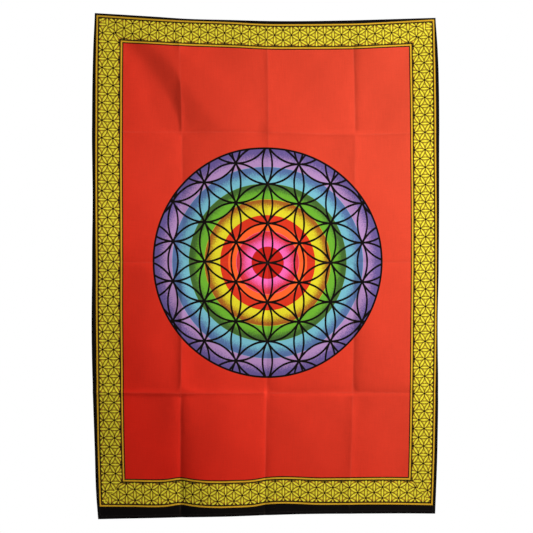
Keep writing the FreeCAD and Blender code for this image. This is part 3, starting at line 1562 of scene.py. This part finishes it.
@dataclass
class Seam:
    """One thread's row of stitches along one side."""

    edge: ClothEdge
    thread: ThreadLine
    material: bpy.types.Material
    from_edge: float = 6.5 * MM
    pitch: float = 3.2 * MM
    stitch: float = 2.9 * MM
    wide: float = 0.42 * MM
    thick: float = 0.26 * MM
    layers: int = 3
    unevenness: float = 2.5     # degrees that a stitch may lean

    def make(self) -> bpy.types.Object:
        """Sews the row.

        Returns:
            The finished piece.
        """
        side, drape = self.edge.side, self.edge.drape
        count = int((self.edge.length - 2 * self.from_edge) / self.pitch)
        start = (self.edge.length - (count - 1) * self.pitch) / 2
        depth = 0.0 if self.thread is ThreadLine.NEEDLE else drape.cloth * self.layers
        random = np.random.default_rng(sum(map(ord, side.value + self.thread.value)))
        lean = np.radians(random.uniform(-self.unevenness, self.unevenness, count))
        quarter = Matrix.Rotation(math.pi / 2, 4, "Y")
        stitch = Matrix.Diagonal((self.stitch / 2, self.thick / 2, self.wide / 2, 1.0)) @ quarter
        places = np.full(count, self.from_edge), np.full(count, depth)
        spots = self.edge.table(*places, start + np.arange(count) * self.pitch)
        bm = bmesh.new()
        for spot, angle in zip(spots, lean):
            turn = Matrix.Rotation(angle, 4, "Y")
            if side.upright:
                turn = turn @ quarter
            place = Matrix.Translation(Vector(spot)) @ turn @ stitch
            bmesh.ops.create_uvsphere(bm, u_segments=6, v_segments=4, radius=1.0, matrix=place)
        piece = new_piece(f"{side.value}_{self.thread.value}_stitches", bm, 180)
        move_points(piece.data, drape.hang(points_of(piece.data)))
        piece.data.materials.append(self.material)
        return piece


@dataclass
class WallHanging:
    """The whole hanging: cloth, hems, stitches; those at top and bottom are joined to their
    bodies.
    """

    drape: Drape
    register: PrintRegister
    printing: PrintedCotton
    crossing: Crossing
    pieces: list[bpy.types.Object] = field(default_factory=list)

    def build(self) -> None:
        """Makes every piece, and joins those of the top and the bottom to their bodies."""
        black_cotton = BlackCotton().material()
        black_thread = BlackThread().material()
        cloth = ClothPanel(self.drape, self.register, self.printing.material()).make()
        self.crossing.join(cloth)
        self.enter(cloth, ["upper_cloth", "lower_cloth"])
        for side in Side:
            edge = ClothEdge(side, self.drape)
            hem = Hem(edge, self.register, black_cotton).make()
            self.attach(hem, side)
            self.enter(hem, self.nodes(side, "hem"))
            for thread in ThreadLine:
                seam = Seam(edge, thread, black_thread).make()
                self.attach(seam, side)
                self.enter(seam, self.nodes(side, f"{thread.value}_thread"))
        self.drape.length

    def attach(self, piece: bpy.types.Object, side: Side) -> None:
        """Joins a top or bottom piece to its body; an upright side's piece only has its transform
        baked.
        """
        if side.upright:
            self.crossing.join(piece)
        else:
            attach(piece, (Body.UPPER if side is Side.TOP else Body.LOWER).value)

    def enter(self, piece: bpy.types.Object, nodes: list[str]) -> None:
        """Lists a piece and the nodes that it stands for."""
        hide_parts(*nodes)
        self.pieces.append(piece)
        log.info("%s: %d faces, for %s", piece.name, len(piece.data.polygons), ", ".join(nodes))

    @staticmethod
    def nodes(side: Side, kind: str) -> list[str]:
        """The names of one side's nodes of a kind."""
        name = f"{side.value}_{kind}"
        return [f"{name}_upper", f"{name}_lower"] if side.upright else [name]


# ---------------------------------------------------------------------------------------------
# The studio
# ---------------------------------------------------------------------------------------------


@dataclass(frozen=True)
class Lamp:
    """One soft lamp.

    Attributes:
        name: its name.
        place: metres to the right of the target, in front of it and above it.
        aim: metres to the right of the target and above it that it points at.
        size: its side.
        share: its share of the light that falls on the target, or on its back.
    """

    name: str
    place: tuple[float, float, float]
    aim: Pair
    size: float
    share: float

    def hang(self, target: Vector) -> None:
        """Puts the lamp in the scene, as bright at the target as its share says."""
        right, front, above = self.place
        place = target + Vector((right, -front, above))
        towards = target + Vector((self.aim[0], 0.0, self.aim[1])) - place
        ray = target - place
        slant = abs(front) / ray.length * math.cos(ray.angle(towards))
        lamp = bpy.data.lights.new(self.name, "AREA")
        lamp.shape = "SQUARE"
        lamp.size = self.size
        lamp.energy = self.share * math.pi**2 * ray.length_squared / slant
        light = bpy.data.objects.new(self.name, lamp)
        light.location = place
        light.rotation_euler = towards.to_track_quat("-Z", "Y").to_euler()
        light.visible_camera = False
        bpy.context.scene.collection.objects.link(light)


@dataclass
class Studio:
    """A pale floor, soft lights and a camera straight in front."""

    target: Vector
    frame_width: float = 1.167
    distance: float = 3.2
    sensor: float = 36.0
    floor_level: float = -1.60
    floor_radius: float = 1.6
    fill_share: float = 0.12
    lamps: tuple[Lamp, ...] = (
        Lamp("front", (-0.14, 0.82, -0.10), (0.95, 1.30), 0.30, 0.41),
        Lamp("raking", (2.40, 0.80, 1.20), (-0.10, -1.20), 0.35, 0.50),
        Lamp("behind", (-0.90, -2.20, 0.70), (0.0, 0.30), 0.80, 0.44),
    )

    def build(self) -> None:
        """Sets up the floor, the lights, the white surround and the camera."""
        self.floor()
        for lamp in self.lamps:
            lamp.hang(self.target)
        self.surround()
        self.camera()
        bpy.context.scene.view_settings.view_transform = "Standard"

    def floor(self) -> None:
        """Lays a round pale floor well below the hanging."""
        bm = bmesh.new()
        bmesh.ops.create_circle(bm, cap_ends=True, segments=96, radius=self.floor_radius)
        bmesh.ops.translate(bm, verts=bm.verts, vec=(0.0, 0.0, self.floor_level))
        floor = new_piece("floor", bm, 30)
        paint = bpy.data.materials.new("pale_floor")
        graph = Graph(paint)
        cloudy = graph.noise(graph.place(), 3.0)
        colour = graph.mix(cloudy, ink(228, 227, 224), ink(240, 239, 236))
        graph.output(graph.node(
            "ShaderNodeBsdfPrincipled", inputs={"Base Color": colour, "Roughness": 0.7}
        ))
        floor.data.materials.append(paint)

    def surround(self) -> None:
        """Makes the surroundings white to look at and gentle as a fill light."""
        world = bpy.data.worlds.new("white_surround")
        graph = Graph(world)
        seen = graph.node("ShaderNodeLightPath")
        shown = graph.node("ShaderNodeBackground", inputs={"Color": WHITE, "Strength": 1.0})
        fill = graph.node(
            "ShaderNodeBackground", inputs={"Color": WHITE, "Strength": self.fill_share}
        )
        direct = graph.socket(seen.outputs, "Is Camera Ray")
        both = graph.node(
            "ShaderNodeMixShader", inputs={0: direct, 1: fill.outputs[0], 2: shown.outputs[0]}
        )
        graph.node("ShaderNodeOutputWorld", inputs={"Surface": both.outputs[0]})
        bpy.context.scene.world = world

    def camera(self) -> None:
        """Stands the camera straight in front of the target."""
        data = bpy.data.cameras.new("camera")
        data.sensor_width = self.sensor
        data.lens = self.sensor * self.distance / self.frame_width
        camera = bpy.data.objects.new("camera", data)
        camera.location = self.target - Vector((0.0, self.distance, 0.0))
        camera.rotation_euler = (math.pi / 2, 0.0, 0.0)
        bpy.context.scene.collection.objects.link(camera)
        bpy.context.scene.camera = camera


# ---------------------------------------------------------------------------------------------
# This hanging's own shape
# ---------------------------------------------------------------------------------------------


def bowed_patch(corners: tuple[Pair, Pair, Pair, Pair], *bows: Knots) -> Patch:
    """Draws a patch from its corners and the bows of its edges.

    Args:
        corners: the top left, top right, bottom left and bottom right.
        bows: those of the top, bottom, left and right edge, without their ends.

    Returns:
        The patch.
    """
    top_left, top_right, bottom_left, bottom_right = corners
    edges = (
        (top_left, top_right, (0, -1)),
        (bottom_left, bottom_right, (0, 1)),
        (top_left, bottom_left, (-1, 0)),
        (top_right, bottom_right, (1, 0)),
    )
    return Patch(*(
        EdgeLine(*edge, ((0.0, 0.0), *bow, (1.0, 0.0))) for edge, bow in zip(edges, bows)
    ))


def cloth_outline() -> Patch:
    """The edges of the cloth as it hangs."""
    return bowed_patch(
        ((-0.3738, 0.0215), (0.3723, 0.0110), (-0.3662, -1.0866), (0.3708, -1.0737)),
        (
            (0.09, 0.0030), (0.18, 0.0062), (0.27, 0.0097), (0.40, 0.0110), (0.50, 0.0121),
            (0.60, 0.0114), (0.70, 0.0094), (0.88, 0.0039),
        ),
        ((0.25, 0.0004), (0.40, 0.0011), (0.60, 0.0031), (0.84, 0.0022)),
        (
            (0.09, 0.0042), (0.21, 0.0071), (0.37, 0.0066), (0.51, 0.0098), (0.63, 0.0118),
            (0.75, 0.0099), (0.86, 0.0066), (0.96, 0.0034),
        ),
        (
            (0.08, 0.0052), (0.20, 0.0081), (0.33, 0.0084), (0.51, 0.0072), (0.61, 0.0052),
            (0.75, 0.0064), (0.87, 0.0044),
        ),
    )


def print_area() -> Patch:
    """The outer edges of the print as the cloth hangs."""
    return bowed_patch(
        ((-0.3697, 0.0167), (0.3692, 0.0071), (-0.3629, -1.0588), (0.3651, -1.0553)),
        (
            (0.25, 0.0093), (0.40, 0.0118), (0.50, 0.0148), (0.60, 0.0142), (0.69, 0.0128),
            (0.78, 0.0107), (0.87, 0.0064),
        ),
        ((0.5, 0.0015),),
        (
            (0.17, 0.0027), (0.28, 0.0035), (0.48, 0.0042), (0.58, 0.0054), (0.68, 0.0050),
            (0.79, 0.0044), (0.89, 0.0031),
        ),
        (
            (0.17, 0.0038), (0.28, 0.0054), (0.38, 0.0068), (0.50, 0.0075), (0.60, 0.0070),
            (0.75, 0.0057), (0.89, 0.0034),
        ),
    )


def foot_of_print() -> Knots:
    """How far the foot of the print hangs low, as the cloth droops between its creases."""
    droops = (
        (0.0, 0.0), (0.10, 1.1), (0.20, 1.6), (0.245, -1.9), (0.285, 1.7), (0.32, 3.9),
        (0.355, 4.8), (0.40, 4.5), (0.465, 2.6), (0.495, -0.8), (0.67, -0.6), (0.85, -1.8),
        (1.0, -0.3),
    )
    return tuple((share, low * MM) for share, low in droops)


def pressed(
    turns: tuple[float, ...],
    path: Knots,
    *rows: tuple[float, float, float, float],
    turn_length: float = Crease.turn_length,
) -> Crease:
    """Presses one crease.

    Args:
        turns: the places along it where it changes.
        path: its line.
        rows: how it stands before, between and after the turns, in millimetres.
        turn_length: the length over which it changes.

    Returns:
        The crease.
    """
    presses = tuple(Press(*(value * MM for value in row)) for row in rows)
    return Crease(path, turns, presses, turn_length)


def packing_creases() -> tuple[tuple[Crease, ...], tuple[Crease, ...]]:
    """The creases of a cloth that was folded in half, and in half again, both ways.

    Returns:
        The upright creases from the left, and the level ones from the top.
    """
    levels = (0.240, 0.525, 0.811)
    uprights = (-0.187, 0.003, 0.194)
    upright = (
        pressed(
            levels,
            (
                (-0.02, -0.1900), (0.240, -0.1835), (0.525, -0.1818), (0.811, -0.1850),
                (1.08, -0.1870),
            ),
            (2.0, 5, 0.9, 5), (-0.8, 11, -2.6, 18), (3.2, 9, 2.8, 22), (-1.6, 8, -5.2, 19),
        ),
        pressed(
            levels,
            ((-0.02, 0.0030), (0.240, 0.0064), (0.525, 0.0047), (0.811, 0.0020), (1.08, -0.0022)),
            (0.8, 5, 1.0, 13), (0.6, 4, 1.6, 30), (-0.2, 5, -2.1, 11), (-1.1, 7, -2.0, 8),
        ),
        pressed(
            levels,
            ((-0.02, 0.1905), (0.240, 0.1960), (0.525, 0.1930), (0.811, 0.1910), (1.08, 0.1830)),
            (-0.15, 5, -2.0, 6), (0.9, 12, 1.8, 25), (-0.7, 16, -3.7, 12), (1.6, 15, 1.0, 11),
        ),
    )
    level = (
        pressed(
            uprights,
            ((-0.38, 0.2400), (-0.19, 0.2395), (0.0, 0.2405), (0.20, 0.2450), (0.38, 0.2400)),
            (0.6, 4, 0.7, 4), (-1.8, 4, -0.5, 4), (0.4, 5, 2.2, 5), (0.9, 4, 1.3, 4),
            turn_length=44 * MM,
        ),
        pressed(
            uprights,
            ((-0.38, 0.5245), (0.0, 0.5250), (0.38, 0.5240)),
            (-0.8, 4, -0.4, 4), (0.5, 5, 0.6, 5), (-0.5, 5, -0.5, 5), (-0.8, 4, -0.4, 4),
        ),
        pressed(
            uprights,
            ((-0.38, 0.8087), (-0.19, 0.8105), (0.0, 0.8106), (0.20, 0.8096), (0.38, 0.8108)),
            (3.7, 5, 3.4, 7), (2.8, 8, 1.6, 3), (-2.7, 9, -2.3, 9), (-1.7, 8, -0.9, 5),
        ),
    )
    return upright, level


def swells() -> tuple[tuple[float, Knots], ...]:
    """How far each row of panels stands off the wall, from the top row down."""
    rows = (
        (-0.240, (
            (-380, 5.6), (-187, 4.2), (-90, 6.0), (5, 7.2), (100, 5.8), (196, 4.2), (380, 4.6),
        )),
        (-0.525, (
            (-380, 9.2), (-187, 4.8), (-60, 6.4), (5, 7.4), (70, 6.4), (196, 5.0), (380, 2.0),
        )),
        (-0.811, (
            (-380, 1.4), (-310, 3.0), (-250, 5.2), (-187, 5.0), (5, 4.2), (100, 4.0),
            (196, 5.4), (380, 4.4),
        )),
        (-1.200, (
            (-380, 3.6), (-187, 5.2), (-90, 6.4), (5, 2.8), (196, 4.4), (290, 4.8), (380, 7.0),
        )),
    )
    return tuple((lower, tuple((x * MM, off * MM) for x, off in knots)) for lower, knots in rows)


def fold_axis() -> Pair:
    """The depth and the height of the middle fold's axis, from the frame."""
    joint = next(j for j in frame["joints"] if j["name"] == "middle_fold")
    return joint["pos_m"][1], joint["pos_m"][2]


def hanging_drape() -> Drape:
    """This cloth's drape, with its thickness and its fold's axis as the frame has them."""
    front, back = (corner.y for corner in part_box("upper_cloth"))
    upright, level = packing_creases()
    outline = cloth_outline()
    long_fold = ((0.0, 36.0), (0.16, 37.5), (0.24, 43.5), (0.32, 46.0), (0.50, 43.0))
    short_fold = ((0.0, 44.0), (0.4, 44.0))
    stop = -0.256
    return Drape(
        width=0.755,
        length=1.100,
        cloth=back - front,
        face=front,
        outline=outline,
        upright=upright,
        level=level,
        folds=(
            CornerFold(outline.top.start, 1, long_fold, 10.5, 5.9 * MM, 0.22, 0.52, stop),
            CornerFold(outline.top.end, -1, short_fold, 14, 1.3 * MM, 0.15, 0.34, stop),
        ),
        pillows=(
            Pillow((-0.185, -0.840), (0.042, 0.052), 5.5 * MM),
            Pillow((0.192, -0.832), (0.030, 0.032), -2.2 * MM),
            Pillow((0.370, -0.970), (0.130, 0.100), 3.0 * MM),
        ),
        fold_axis=fold_axis(),
        swells=swells(),
    )


def main() -> None:
    """Builds the hanging and the studio."""
    logging.basicConfig(level=logging.INFO, format="%(name)s: %(message)s")
    drape = hanging_drape()
    printing = PrintedCotton()
    register = PrintRegister(
        print_area(), printing.half_width, printing.half_height, sag=foot_of_print()
    )
    WallHanging(drape, register, printing, Crossing(drape.fold_axis[1])).build()
    Studio(target=Vector((0.0022, drape.face, -0.5336))).build()


if __name__ == "__main__":
    main()
